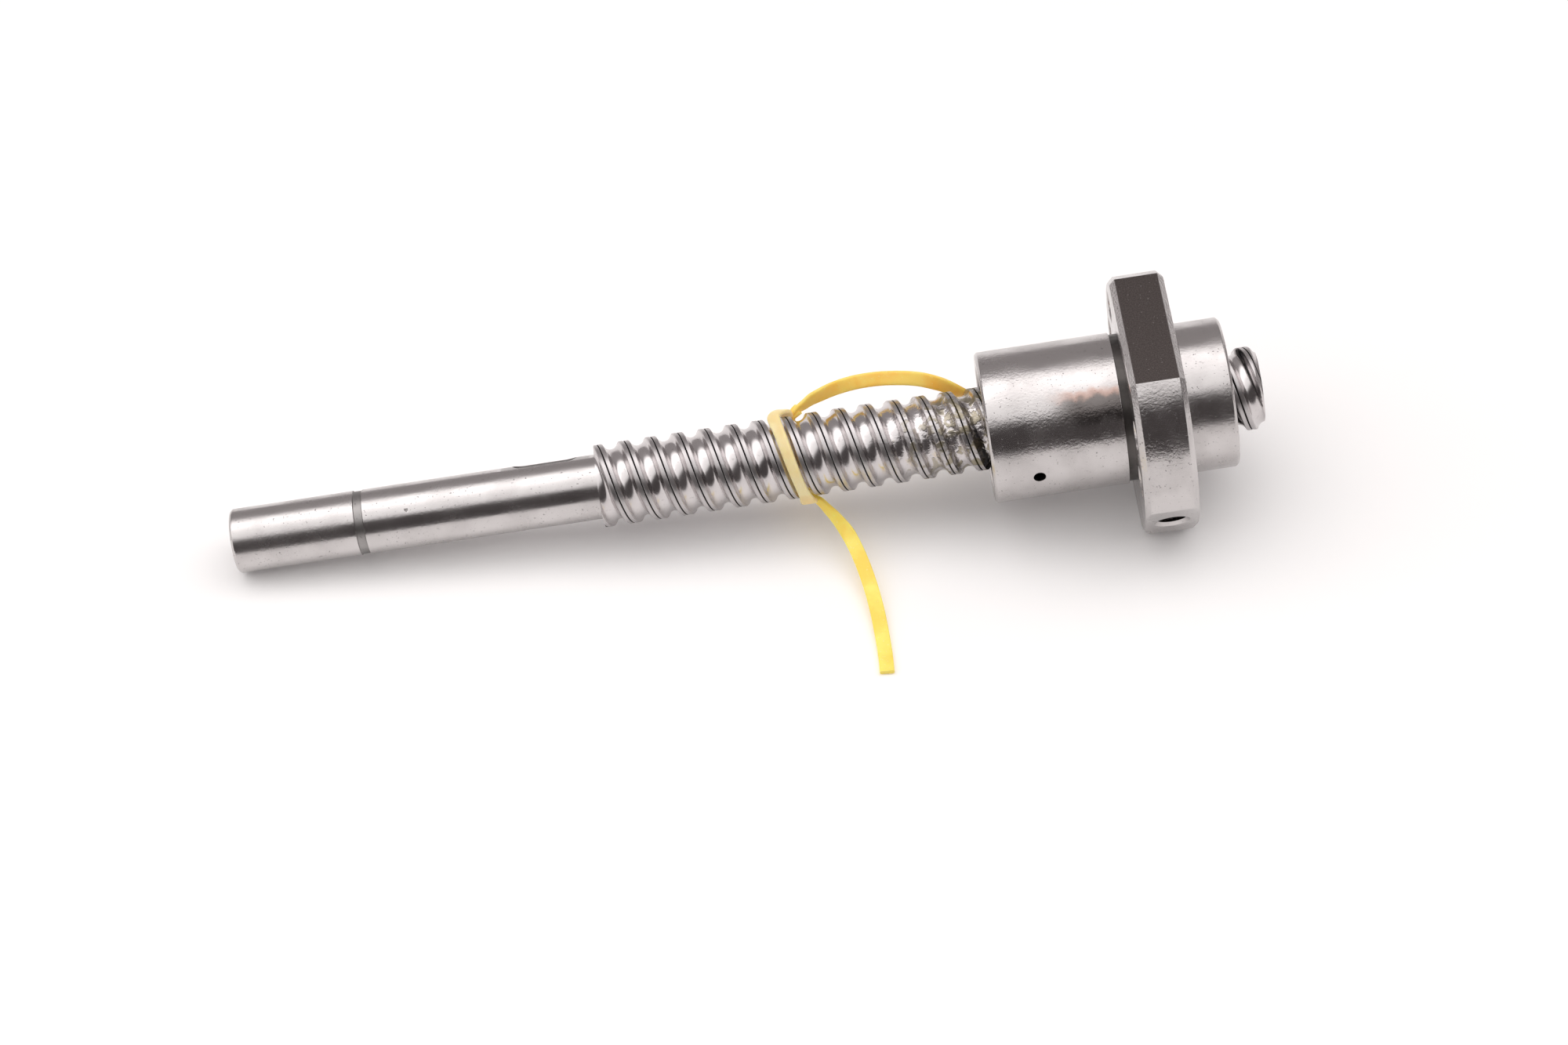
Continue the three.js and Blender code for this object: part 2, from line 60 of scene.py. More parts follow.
SAME_PLACE = 1e-6  # in metres: closer than this counts as the same place
ROUNDING = 1e-4  # in millimetres: more than a stored coordinate can be off by

# Thread, as in the CAD model: two starts, right-hand.
LEAD = 10
PITCH = 5
GROOVE_PHASE = 0.21
CREST_RADIUS = 7.68
BALL_RADIUS = 3.175 / 2
BALL_CIRCLE_RADIUS = 8.1
TRACK_RADIUS = 1.65
SEAM_HALF_WIDTH = 0.1
SEAM_DEPTH = 0.2
SHOULDER_BLEND = 0.09
THREAD_SEGMENTS = 72

# Screw shaft.
SHAFT_LENGTH = 191.2
THREAD_START = 68.4
THREAD_END_CHAMFER = 1
JOURNAL_RADIUS = 6
JOURNAL_CHAMFER = 0.6
DIMPLE = {"x": 32.9, "angle": math.radians(123), "radius": 0.27, "depth": 0.18}
KEYWAY = {"from": 53, "to": 65, "width": 4, "depth": 2.5, "angle": math.radians(48)}
RING_GROOVE = {"from": 23.1, "to": 24.8, "depth": 0.18, "slope": 0.12}
JOURNAL_ROWS = (12, 50)  # lathe rows that only keep the journal's faces short
LATHE_SEGMENTS = 144

# Nut.
NUT_LEFT = 140.2
NUT_RIGHT = 185.4
FLANGE_LEFT = 166.4
FLANGE_RIGHT = 176.4
NUT_RADIUS = 14
SPIGOT_RADIUS = 13.85
FLANGE_RADIUS = 24
FLANGE_FLAT = 20
FLANGE_CHAMFER = 1
RELIEF_RADIUS = 13.6
RELIEF_WIDTH = 1.4
SPIGOT_RELIEF_RADIUS = 13.5
SPIGOT_RELIEF_WIDTH = 0.5
RELIEF_REACH = 13.9  # the faces of both reliefs lie within this radius
HIDDEN_STEP = (171, 172)  # inside the flange, one relief's radius becomes the other's
BOLT_CIRCLE_RADIUS = 19
BOLT_HOLE_RADIUS = 2.75
BOLT_HOLE_CHAMFER = 0.4
BOLT_ANGLES = [-30, 0, 30, 150, 180]
PORT_ANGLE = math.radians(207.6)
PORT_FLAT = 22.75
PORT_FLOOR = 15
PORT_THREAD = {"pitch": 0.8, "core": 2.6, "outer": 2.95, "mouth": 3.3}
WALL_HOLE = {"x": 148.6, "angle": math.pi, "radius": 1.15}
WALL_HOLE_ROWS = (146.8, 150.4)  # lathe rows that keep the hole's cut off the rest of the barrel
SEAT_DEPTH = 5.3
SEAT_RADIUS = 11.3
SEAT_CHAMFER = 0.25
VOID_RADIUS = 13.2  # everything inside the nut lies within this radius
VOID_MARGIN = 0.4  # the hollow stops this far short of the end faces, and the seats open it
CUT_PAST = 1  # how far a cutter reaches past a face

# Rubber strip.
STRIP_WIDTH = 2.7
STRIP_THICKNESS = 0.9
LOOP_LINE = 20
# Angle in degrees, x (None: in the groove), radius, how far the width leans outwards, width.
LOOP_KNOTS = [
    (45, 103.5, 8.6, -0.1, 2.3), (53, 102.7, 8.5, 0.05, 2.4), (62, 102.1, 8.2, 0.2, 2.4),
    (75, None, 7.8, 0.3, 2.3), (92, None, 7.65, 0.35, 2.2), (120, None, 7.55, 0.35, 2.15),
    (150, None, 7.55, 0.35, 2.1), (180, None, 7.6, 0.35, 2.1), (200, None, 7.95, 0.25, 2.4),
    (214, 106.1, 8.5, 0.05, 2.9), (228, 106.3, 8.6, 0, 3), (250, 106, 8.5, 0, 2.7),
    (300, 105.2, 8.5, 0, 2.7), (360, 104.6, 8.5, 0, 2.6), (390, 104.2, 8.6, -0.1, 2.4),
    (405, 103.5, 8.6, -0.1, 2.3),
]
# Where each tail leaves the loop, from the loop's far side to a little way along the tail.
UPPER_KNOT = [(104.6, 8.45, 0.3), (105.1, 8.6, 1.4), (105.7, 8.6, 2.4), (106.7, 8.7, 3.3)]
LOWER_KNOT = [(105.6, -3.4, -6.9), (106.5, -4.2, -6.8), (107.4, -4.8, -6.9), (108.1, -5.3, -7.2),
              (108.7, -6.1, -7.4)]
UPPER_TAIL = [
    (105.7, 8.6, 2.4), (106.7, 8.7, 3.3), (107.9, 8.8, 4.1), (109.2, 9, 4.9), (110.7, 9.1, 5.6),
    (113.9, 9.4, 6.6), (117.9, 9.7, 7.1), (122.1, 9.9, 6.9), (126.2, 9.9, 6.2), (129.7, 9.9, 5.1),
    (132.7, 9.7, 3.6), (134.1, 9.6, 2.7), (135.4, 9.5, 1.7), (137.3, 9.3, 0.2), (138.4, 9.2, -1),
]
LOWER_TAIL = [
    (108.1, -5.3, -7.2), (108.7, -6.1, -7.4), (109.4, -7.1, -7.8), (110.3, -8.3, -8.3),
    (111.3, -9.8, -9), (112.2, -11.4, -9.7), (112.9, -13, -10.4), (113.9, -16.2, -11.6),
    (114.7, -19.8, -12.7), (115.3, -23.6, -13.6), (115.7, -27.6, -14.3), (115.9, -31.6, -14.8),
    (116, -35.7, -15.1), (116, -38.7, -15.2), (115.9, -41.6, -15.2),
]

# Floor: it touches the journal's left end and the flange's lower left edge.
FLOOR_TOUCH = 166.9
FLOOR_HEIGHT = -JOURNAL_RADIUS
FLOOR_SLOPE = (JOURNAL_RADIUS - FLANGE_FLAT) / FLOOR_TOUCH
FLOOR_LEFT = -2500
FLOOR_RIGHT = 2700
FLOOR_HALF_DEPTH = 2500
# The floor glows more with distance, in metres, so that its far part is as white as its near part.
FLOOR_GLOW = {"near": 0.45, "far": 1.4, "low": 0.1, "high": 0.85}

# Where the grease on the thread starts and is full, and where it thins and ends, in metres.
GREASE_RISE = (0.108, 0.139)
GREASE_FALL = (0.178, 0.184)
# The edges of the smear on the barrel: metres along X, and angles.
SMEAR_LEFT = (0.1505, 0.1575)
SMEAR_RIGHT = (0.1648, 0.1650)
SMEAR_TOP = (math.radians(113), math.radians(124))
SMEAR_BOTTOM = (math.radians(134), math.radians(146))

# Soft box overhead: size and place in metres, power in watts.
SOFT_BOX = {"width": 4.0, "depth": 1.75, "power": 41, "place": (0.1, -0.075, 1.0)}
# Brightness across the soft box, from its front edge to its back edge.
SOFT_BOX_LEVELS = [
    (0.01, 0.03), (0.06, 0.15), (0.14, 0.55), (0.26, 0.66), (0.4, 0.68), (0.52, 0.85), (0.64, 1),
    (0.78, 1), (0.88, 0.6), (0.95, 0.3), (0.99, 0.1),
]


# ---------------------------------------------------------------- camera

def make_camera():
    """A long lens, looking down at the screw from its near side."""
    data = bpy.data.cameras.new("camera")
    data.sensor_width = 36
    data.lens = 96.08
    camera = bpy.data.objects.new("camera", data)
    bpy.context.scene.collection.objects.link(camera)
    right = Vector((0.98844523, -0.09338882, -0.11939247))
    up = Vector((0.14905539, 0.74196825, 0.65365558))
    back = Vector((0.0275413, -0.66389883, 0.74731508))
    turn = Matrix((right, up, back)).transposed().to_4x4()
    place = Matrix.Translation((0.122310, -0.521294, 0.569196))
    camera.matrix_world = place @ turn
    bpy.context.scene.camera = camera


# ---------------------------------------------------------------- mesh helpers

def around(x, radius, angle):
    return Vector((x, radius * math.cos(angle), radius * math.sin(angle)))


def new_object(name, points, faces, smooth_angle=14):
    """An object from points in millimetres, its edges sharp above an angle in degrees."""
    mesh = bpy.data.meshes.new(name)
    mesh.from_pydata([tuple(Vector(p) * MM) for p in points], [], faces)
    piece = bpy.data.objects.new(name, mesh)
    bpy.context.scene.collection.objects.link(piece)
    clean(piece, smooth_angle)
    return piece


def clean(piece, smooth_angle=14, merge=1e-7):
    """Merges doubled points, turns the faces outwards and sets the shading."""
    work = bmesh.new()
    work.from_mesh(piece.data)
    bmesh.ops.remove_doubles(work, verts=work.verts, dist=merge)
    bmesh.ops.recalc_face_normals(work, faces=work.faces)
    work.to_mesh(piece.data)
    work.free()
    piece.data.polygons.foreach_set("use_smooth", [True] * len(piece.data.polygons))
    piece.data.set_sharp_from_angle(angle=math.radians(smooth_angle))


def turned(profile, segments=LATHE_SEGMENTS):
    """Points and faces of a solid of revolution about X, from (x, radius) pairs that start and end
    on the axis."""
    rim = profile[1:-1]
    points = [around(x, r, FULL_TURN * k / segments) for x, r in rim for k in range(segments)]
    faces = []
    for row in range(len(rim) - 1):
        for k in range(segments):
            a = row * segments + k
            b = row * segments + (k + 1) % segments
            faces.append((a, b, b + segments, a + segments))
    for x, row in ((profile[0][0], 0), (profile[-1][0], len(rim) - 1)):
        points.append(Vector((x, 0, 0)))
        centre = len(points) - 1
        for k in range(segments):
            faces.append((centre, row * segments + k, row * segments + (k + 1) % segments))
    return points, faces


def rod(start, end, radius, segments=48):
    return turned([(start, 0), (start, radius), (end, radius), (end, 0)], segments)


def placed(shape, matrix):
    points, faces = shape
    return [matrix @ Vector(p) for p in points], faces


def radial(x, angle):
    """The matrix that turns X away from the screw's axis, towards an angle, at an x."""
    out = around(0, 1, angle)
    along = Vector((1, 0, 0))
    turn = Matrix((out, along, out.cross(along))).transposed().to_4x4()
    return Matrix.Translation((x, 0, 0)) @ turn


def helix(profile, start, end, lead, segments):
    """Points and faces of a helical surface about X. The profile's (offset, radius) points cover
    one lead, and the last is the first of the next turn."""
    first = start - 2 * lead
    rows = math.ceil(segments * ((end - first) / lead + 1))
    points = []
    for row in range(rows + 1):
        turn = row / segments
        points += [around(first + lead * turn + o, r, FULL_TURN * turn) for o, r in profile]
    width = len(profile)
    faces = []
    for row in range(rows):
        for k in range(width - 1):
            a = row * width + k
            faces.append((a, a + 1, a + 1 + width, a + width))
    return points, faces


def slice_ends(work, start, end):
    """Cuts an open mesh square at two x values in metres."""
    for x, side in ((start, -1), (end, 1)):
        bmesh.ops.bisect_plane(
            work, geom=work.verts[:] + work.edges[:] + work.faces[:], dist=1e-8,
            plane_co=(x, 0, 0), plane_no=(side, 0, 0), clear_outer=True,
        )


def rim_at(work, x):
    """The open edge's points at an x in metres, in order round the axis."""
    rim = {v for e in work.edges if e.is_boundary for v in e.verts if abs(v.co.x - x) < SAME_PLACE}
    return sorted(rim, key=lambda v: math.atan2(v.co.z, v.co.y))


def fan(work, x):
    """Closes the open end at an x in metres with triangles from its middle."""
    rim = rim_at(work, x)
    centre = work.verts.new((x, 0, 0))
    for a, b in zip(rim, rim[1:] + rim[:1]):
        work.faces.new((centre, a, b))


def stitch(work, inner, outer):
    """Fills the flat ring between two closed loops that are in order round the axis."""
    def angles(loop):
        found = [math.atan2(v.co.z, v.co.y) for v in loop]
        return found + [found[0] + FULL_TURN]
    inner_at, outer_at = angles(inner), angles(outer)
    i = j = 0
    while i < len(inner) or j < len(outer):
        a, b = inner[i % len(inner)], outer[j % len(outer)]
        if j == len(outer) or (i < len(inner) and inner_at[i + 1] <= outer_at[j + 1]):
            i += 1
            work.faces.new((a, inner[i % len(inner)], b))
        else:
            j += 1
            work.faces.new((a, outer[j % len(outer)], b))


def dress(piece, *finishes):
    """Gives a piece these materials in place of its own."""
    piece.data.materials.clear()
    for finish in finishes:
        piece.data.materials.append(finish)


def cut(piece, cutter, operation="DIFFERENCE"):
    """Applies a boolean and removes the cutter."""
    modifier = piece.modifiers.new("cut", "BOOLEAN")
    modifier.object = cutter
    modifier.operation = operation
    modifier.solver = "EXACT"
    bpy.context.view_layer.update()
    result = bpy.data.meshes.new_from_object(
        piece.evaluated_get(bpy.context.evaluated_depsgraph_get())
    )
    piece.modifiers.clear()
    piece.data = result
    bpy.data.objects.remove(cutter)


def smooth_line(points, count):
    """Points of a Catmull-Rom curve through the given ones, or such a row of plain numbers."""
    given = [np.array(p, float) for p in points]
    given = [2 * given[0] - given[1], *given, 2 * given[-1] - given[-2]]
    spans = len(given) - 3
    line = []
    for k in range(count):
        at = spans * k / (count - 1)
        i = min(int(at), spans - 1)
        t = at - i
        a, b, c, d = given[i:i + 4]
        line.append(0.5 * (2 * b + (c - a) * t + (2 * a - 5 * b + 4 * c - d) * t ** 2
                           + (3 * b - a - 3 * c + d) * t ** 3))
    return line


# ---------------------------------------------------------------- materials

def add(tree, kind, inputs=None, **settings):
    """A new shader node, its inputs linked to sockets or set to values."""
    made = tree.nodes.new(kind)
    for key, value in settings.items():
        setattr(made, key, value)
    for key, value in (inputs or {}).items():
        if isinstance(value, bpy.types.NodeSocket):
            tree.links.new(value, made.inputs[key])
        else:
            made.inputs[key].default_value = value
    return made


def new_material(name, **values):
    """A material, its node tree and its main shader, with plain values set on the sockets."""
    made = bpy.data.materials.new(name)
    made.use_nodes = True
    tree = made.node_tree
    shader = tree.nodes["Principled BSDF"]
    for key, value in values.items():
        shader.inputs[key.replace("_", " ")].default_value = value
    return made, tree, shader


def noise_of(tree, where, scale, detail=3.0, stretch=None):
    """Noise over the piece; scale is in features a metre."""
    if stretch:
        where = add(tree, "ShaderNodeMapping", {"Vector": where, "Scale": stretch}).outputs[0]
    made = add(tree, "ShaderNodeTexNoise", {"Vector": where, "Scale": scale, "Detail": detail})
    return made.outputs["Fac"]


def ranged(tree, value, low, high, to_low=0.0, to_high=1.0):
    """A smooth step from to_low to to_high as the value goes from low to high."""
    made = add(
        tree, "ShaderNodeMapRange",
        {"Value": value, "From Min": low, "From Max": high, "To Min": to_low, "To Max": to_high},
        interpolation_type="SMOOTHSTEP",
    )
    return made.outputs[0]


def math_of(tree, operation, a, b=0.0):
    return add(tree, "ShaderNodeMath", {0: a, 1: b}, operation=operation).outputs[0]


def times(tree, a, b):
    return math_of(tree, "MULTIPLY", a, b)


def mixed(tree, share, a, b):
    """A colour between a and b. The mix node's sockets 6 and 7 and its output 2 are its colours."""
    made = add(tree, "ShaderNodeMix", {"Factor": share}, data_type="RGBA")
    for socket, value in ((made.inputs[6], a), (made.inputs[7], b)):
        if isinstance(value, bpy.types.NodeSocket):
            tree.links.new(value, socket)
        else:
            socket.default_value = (*value, 1)
    return made.outputs[2]


def bump_of(tree, heights):
    """Bumps laid on each other, from (height, depth in metres) pairs."""
    normal = None
    for height, depth in heights:
        inputs = {"Height": height, "Distance": depth, "Strength": 1.0}
        if normal:
            inputs["Normal"] = normal
        normal = add(tree, "ShaderNodeBump", inputs).outputs[0]
    return normal


def turned_steel(name, light, dark, smooth, rough, film=0.0):
    """Ground or turned steel: marks round the axis, soft blotches, pits and a wrinkled oil film."""
    made, tree, shader = new_material(name, Metallic=1.0, Anisotropic=0.35)
    where = add(tree, "ShaderNodeTexCoord").outputs["Object"]
    blotch = noise_of(tree, where, 160)
    marks = noise_of(tree, where, 60, 2.0, (220, 1, 1))
    pits = ranged(tree, noise_of(tree, where, 2300, 1.0), 0.68, 0.76)
    wrinkle = noise_of(tree, where, 1700, 4.0, (1, 1.3, 1.3))
    scratches = noise_of(tree, where, 3600, 3.0, (1, 0.5, 0.5))
    patch = ranged(tree, noise_of(tree, where, 80, 3.0), 0.40, 0.60, 0.25, 1.0)
    film_height = times(tree, wrinkle, patch)
    tone = ranged(tree, blotch, 0.35, 0.7)
    colour = mixed(tree, tone, light, dark)
    colour = mixed(tree, times(tree, pits, 0.6), colour, (0.12, 0.11, 0.11))
    tree.links.new(colour, shader.inputs["Base Color"])
    tree.links.new(ranged(tree, blotch, 0.3, 0.7, smooth, rough), shader.inputs["Roughness"])
    heights = [(marks, 1.5e-6), (pits, -1.2e-5)]
    if film:
        heights += [(film_height, film), (times(tree, scratches, patch), film / 2.2)]
    tree.links.new(bump_of(tree, heights), shader.inputs["Normal"])
    return made


def thread_steel():
    """The screw: mirror-bright tracks, greyer crests, a seam painted black as shade, and grease
    towards the nut.
    """
    made, tree, shader = new_material("screw_finish", Metallic=1.0)
    where = add(tree, "ShaderNodeTexCoord").outputs["Object"]
    x = add(tree, "ShaderNodeSeparateXYZ", {"Vector": where}).outputs["X"]
    seam = add(tree, "ShaderNodeAttribute", attribute_name="seam").outputs["Fac"]
    crest = add(tree, "ShaderNodeAttribute", attribute_name="crest").outputs["Fac"]
    blotch = noise_of(tree, where, 260)
    specks = ranged(tree, noise_of(tree, where, 1900, 2.0), 0.62, 0.72)
    lumps = noise_of(tree, where, 520, 4.0)
    rise = ranged(tree, x, *GREASE_RISE)
    fall = ranged(tree, x, *GREASE_FALL, 1.0, 0.0)
    near = times(tree, rise, fall)
    threshold = ranged(tree, near, 0.0, 1.0, 0.72, 0.46)
    smear = ranged(tree, math_of(tree, "SUBTRACT", lumps, threshold), 0.0, 0.1)
    smear = times(tree, smear, near)
    steel = mixed(tree, crest, (0.62, 0.59, 0.59), (0.50, 0.475, 0.475))
    steel = mixed(tree, times(tree, specks, 0.22), steel, (0.2, 0.19, 0.18))
    # Painted shade: the seam's crease is coloured near-black.
    steel = mixed(tree, seam, steel, (0.006, 0.005, 0.005))
    colour = mixed(tree, times(tree, smear, 0.7), steel, (0.24, 0.2, 0.1))
    tree.links.new(colour, shader.inputs["Base Color"])
    rough = ranged(tree, blotch, 0.3, 0.7, 0.17, 0.24)
    rough = math_of(tree, "ADD", rough, times(tree, crest, 0.13))
    rough = math_of(tree, "ADD", rough, times(tree, smear, 0.08))
    rough = math_of(tree, "ADD", rough, times(tree, seam, 0.5))
    tree.links.new(rough, shader.inputs["Roughness"])
    ripple = noise_of(tree, where, 1500, 5.0)
    heights = [(blotch, 2e-5), (times(tree, ripple, near), 1.3e-4),
               (times(tree, lumps, smear), 1.2e-4)]
    tree.links.new(bump_of(tree, heights), shader.inputs["Normal"])
    return made


def smear_barrel(made):
    """A thin smear of old oil on the right of the barrel's near side, orange at its upper edge."""
    tree = made.node_tree
    shader = tree.nodes["Principled BSDF"]
    steel = shader.inputs["Base Color"].links[0].from_socket
    where = add(tree, "ShaderNodeTexCoord").outputs["Object"]
    parts = add(tree, "ShaderNodeSeparateXYZ", {"Vector": where}).outputs
    angle = math_of(tree, "ARCTAN2", parts["Z"], parts["Y"])
    ragged = times(tree, noise_of(tree, where, 420, 5.0), 0.24)
    angle = math_of(tree, "ADD", angle, math_of(tree, "SUBTRACT", ragged, 0.12))
    upper = ranged(tree, angle, *SMEAR_TOP)
    lower = ranged(tree, angle, *SMEAR_BOTTOM, 1.0, 0.0)
    left = ranged(tree, parts["X"], *SMEAR_LEFT)
    right = ranged(tree, parts["X"], *SMEAR_RIGHT, 1.0, 0.0)
    share = times(tree, times(tree, upper, lower), times(tree, left, right))
    edge = times(tree, times(tree, share, 3.2), math_of(tree, "SUBTRACT", 1.0, upper))
    dark = mixed(tree, times(tree, share, 0.8), steel, (0.09, 0.075, 0.07))
    colour = mixed(tree, times(tree, edge, 0.36), dark, (0.70, 0.34, 0.22))
    tree.links.new(colour, shader.inputs["Base Color"])
    return made


def milled_steel():
    """The flange's flats: dark, nearly matt, with fine grain and dust."""
    made, tree, shader = new_material("flat_finish", Metallic=1.0)
    where = add(tree, "ShaderNodeTexCoord").outputs["Object"]
    grain = noise_of(tree, where, 4200, 3.0)
    dust = ranged(tree, noise_of(tree, where, 2300, 0.0), 0.76, 0.80)
    tone = ranged(tree, grain, 0.3, 0.7)
    colour = mixed(tree, tone, (0.085, 0.072, 0.069), (0.125, 0.107, 0.102))
    colour = mixed(tree, times(tree, dust, 0.3), colour, (0.4, 0.38, 0.37))
    tree.links.new(colour, shader.inputs["Base Color"])
    tree.links.new(ranged(tree, grain, 0.3, 0.7, 0.30, 0.40), shader.inputs["Roughness"])
    tree.links.new(bump_of(tree, [(grain, 1.2e-5)]), shader.inputs["Normal"])
    return made


def rubber(name, light, deep):
    """Translucent rubber: cloudy colour, tiny bubbles, a soft shine and a faint painted glow."""
    made, tree, shader = new_material(
        name, Subsurface_Weight=0.6, Subsurface_Scale=0.002, Specular_IOR_Level=0.45,
        Subsurface_Radius=(1.0, 0.7, 0.3), Emission_Strength=0.13,
    )
    where = add(tree, "ShaderNodeTexCoord").outputs["Object"]
    cloud = noise_of(tree, where, 190, 4.0)
    dots = ranged(tree, noise_of(tree, where, 2200, 1.0), 0.66, 0.74)
    colour = mixed(tree, ranged(tree, cloud, 0.35, 0.65), light, deep)
    colour = mixed(tree, times(tree, dots, 0.3), colour, (0.95, 0.82, 0.5))
    tree.links.new(colour, shader.inputs["Base Color"])
    # Painted light: the rubber glows faintly in its own colour.
    tree.links.new(colour, shader.inputs["Emission Color"])
    tree.links.new(ranged(tree, cloud, 0.3, 0.7, 0.28, 0.5), shader.inputs["Roughness"])
    tree.links.new(bump_of(tree, [(cloud, 1.5e-4), (dots, 2e-5)]), shader.inputs["Normal"])
    return made


def moulded(name, light, dark):
    """Moulded plastic with a fine grain."""
    made, tree, shader = new_material(name)
    where = add(tree, "ShaderNodeTexCoord").outputs["Object"]
    grain = noise_of(tree, where, 1700, 4.0)
    colour = mixed(tree, grain, light, dark)
    tree.links.new(colour, shader.inputs["Base Color"])
    tree.links.new(ranged(tree, grain, 0.3, 0.7, 0.38, 0.6), shader.inputs["Roughness"])
    tree.links.new(bump_of(tree, [(grain, 3e-5)]), shader.inputs["Normal"])
    return made


def ball_steel():
    """Polished steel with a slight haze."""
    made, tree, shader = new_material("ball_finish", Metallic=1.0)
    where = add(tree, "ShaderNodeTexCoord").outputs["Object"]
    haze = noise_of(tree, where, 900)
    colour = mixed(tree, haze, (0.74, 0.73, 0.73), (0.66, 0.65, 0.64))
    tree.links.new(colour, shader.inputs["Base Color"])
    tree.links.new(ranged(tree, haze, 0.3, 0.7, 0.04, 0.1), shader.inputs["Roughness"])
    return made


# ---------------------------------------------------------------- screw shaft

def track_profile():
    """One pitch of the screw: a round track, blended shoulders, and a rolled seam on the land."""
    offsets = [0.16 * k for k in range(10)]
    offsets += [1.58, 1.68, 1.78, 1.9, 2.05, 2.2, 2.3, 2.36, 2.41, 2.45, 2.5]
    half = []
    for offset in offsets:
        inside = TRACK_RADIUS ** 2 - offset ** 2
        track = BALL_CIRCLE_RADIUS - math.sqrt(max(inside, 0))
        gap = (track - CREST_RADIUS) / SHOULDER_BLEND
        radius = CREST_RADIUS - SHOULDER_BLEND * math.log1p(math.exp(-gap))
        crown = 0.02 * max(0.0, (offset - 1.9) / 0.6) ** 2
        seam = SEAM_DEPTH * math.exp(-((offset - PITCH / 2) / SEAM_HALF_WIDTH) ** 2)
        half.append((offset, radius - crown - seam))
    return half + [(PITCH - o, r) for o, r in half[-2:0:-1]]


def mark_thread(piece):
    """Stores how far each point is on a seam and on a crest, for the material."""
    co = np.zeros(len(piece.data.vertices) * 3)
    piece.data.vertices.foreach_get("co", co)
    x, y, z = (co.reshape(-1, 3) / MM).T
    radius = np.hypot(y, z)
    offset = np.mod(x - GROOVE_PHASE - LEAD * np.arctan2(z, y) / FULL_TURN, PITCH)
    threaded = x > THREAD_START + ROUNDING
    seam = np.exp(-((offset - PITCH / 2) / (1.3 * SEAM_HALF_WIDTH)) ** 6) * threaded
    crest = np.clip((radius - CREST_RADIUS + 0.3) / 0.25, 0, 1) * threaded
    # The rim where the thread meets the journal counts as part crest.
    crest = np.where(threaded, crest, 0.35)
    for name, values in (("seam", seam), ("crest", crest)):
        layer = piece.data.attributes.new(name, "FLOAT", "POINT")
        layer.data.foreach_set("value", values.astype(np.float32))


def thread_mesh():
    """Points and faces of the two-start thread, with its right end chamfered."""
    pitch = track_profile()
    profile = pitch + [(o + PITCH, r) for o, r in pitch] + [(LEAD, pitch[0][1])]
    start = GROOVE_PHASE + LEAD * math.floor((THREAD_START - GROOVE_PHASE) / LEAD)
    points, faces = helix(profile, start, SHAFT_LENGTH, LEAD, THREAD_SEGMENTS)
    for point in points:
        radius = math.hypot(point.y, point.z)
        limit = CREST_RADIUS - THREAD_END_CHAMFER + max(0.0, SHAFT_LENGTH - point.x)
        if radius > limit:
            point.yz = point.yz * (limit / radius)
    return points, faces


def keyway_cutter():
    """A slot with round ends, sunk to the keyway's floor."""
    half = KEYWAY["width"] / 2
    floor = JOURNAL_RADIUS - KEYWAY["depth"]
    outline = []
    for end, first in ((KEYWAY["from"] + half, 90), (KEYWAY["to"] - half, -90)):
        for k in range(17):
            angle = math.radians(first + 180 * k / 16)
            outline.append((end + half * math.cos(angle), half * math.sin(angle)))
    count = len(outline)
    points = [Vector((x, y, z)) for z in (floor, floor + 10) for x, y in outline]
    faces = [tuple(range(count)), tuple(range(count, 2 * count))]
    faces += [(k, (k + 1) % count, count + (k + 1) % count, count + k) for k in range(count)]
    turn = Matrix.Rotation(KEYWAY["angle"] - math.pi / 2, 4, "X")
    return new_object("key_cutter", *placed((points, faces), turn))


def journal_object():
    """The plain end: a softened chamfer, the ring groove, the keyway and the dimple."""
    r = JOURNAL_RADIUS
    groove_left = RING_GROOVE["from"]
    groove_right = RING_GROOVE["to"]
    groove = r - RING_GROOVE["depth"]
    slope = RING_GROOVE["slope"]
    profile = [
        (0, 0), (0, r - 0.55), (0.06, r - 0.42), (0.44, r - 0.05), (JOURNAL_CHAMFER, r),
        (JOURNAL_ROWS[0], r), (groove_left, r), (groove_left + slope, groove),
        (groove_right - slope, groove), (groove_right, r), (DIMPLE["x"] - 0.4, r),
        (DIMPLE["x"] + 0.4, r), (JOURNAL_ROWS[1], r), (THREAD_START, r), (THREAD_START, 0),
    ]
    journal = new_object("screw_shaft_fine", *turned(profile))
    cut(journal, keyway_cutter())
    pin = rod(r - DIMPLE["depth"], r + 1, DIMPLE["radius"], segments=24)
    place = radial(DIMPLE["x"], DIMPLE["angle"])
    cut(journal, new_object("dimple_cutter", *placed(pin, place)))
    return journal


def join_thread(journal):
    """Adds the thread to the journal's mesh, and closes the flat ring where the two meet."""
    thread = new_object("thread", *thread_mesh(), smooth_angle=40)
    start = THREAD_START * MM
    end = SHAFT_LENGTH * MM
    work = bmesh.new()
    work.from_mesh(thread.data)
    slice_ends(work, start, end)
    fan(work, end)
    outer = rim_at(work, start)
    plain = bmesh.new()
    plain.from_mesh(journal.data)
    cap = [f for f in plain.faces if all(abs(v.co.x - start) < SAME_PLACE for v in f.verts)]
    bmesh.ops.delete(plain, geom=cap, context="FACES")
    plain.to_mesh(journal.data)
    plain.free()
    before = set(work.verts)
    work.from_mesh(journal.data)
    inner = [v for v in rim_at(work, start) if v not in before]
    stitch(work, inner, outer)
    loose = [v for v in work.verts if not v.link_faces]
    bmesh.ops.delete(work, geom=loose, context="VERTS")
    bmesh.ops.recalc_face_normals(work, faces=work.faces)
    work.to_mesh(journal.data)
    work.free()
    bpy.data.objects.remove(thread)


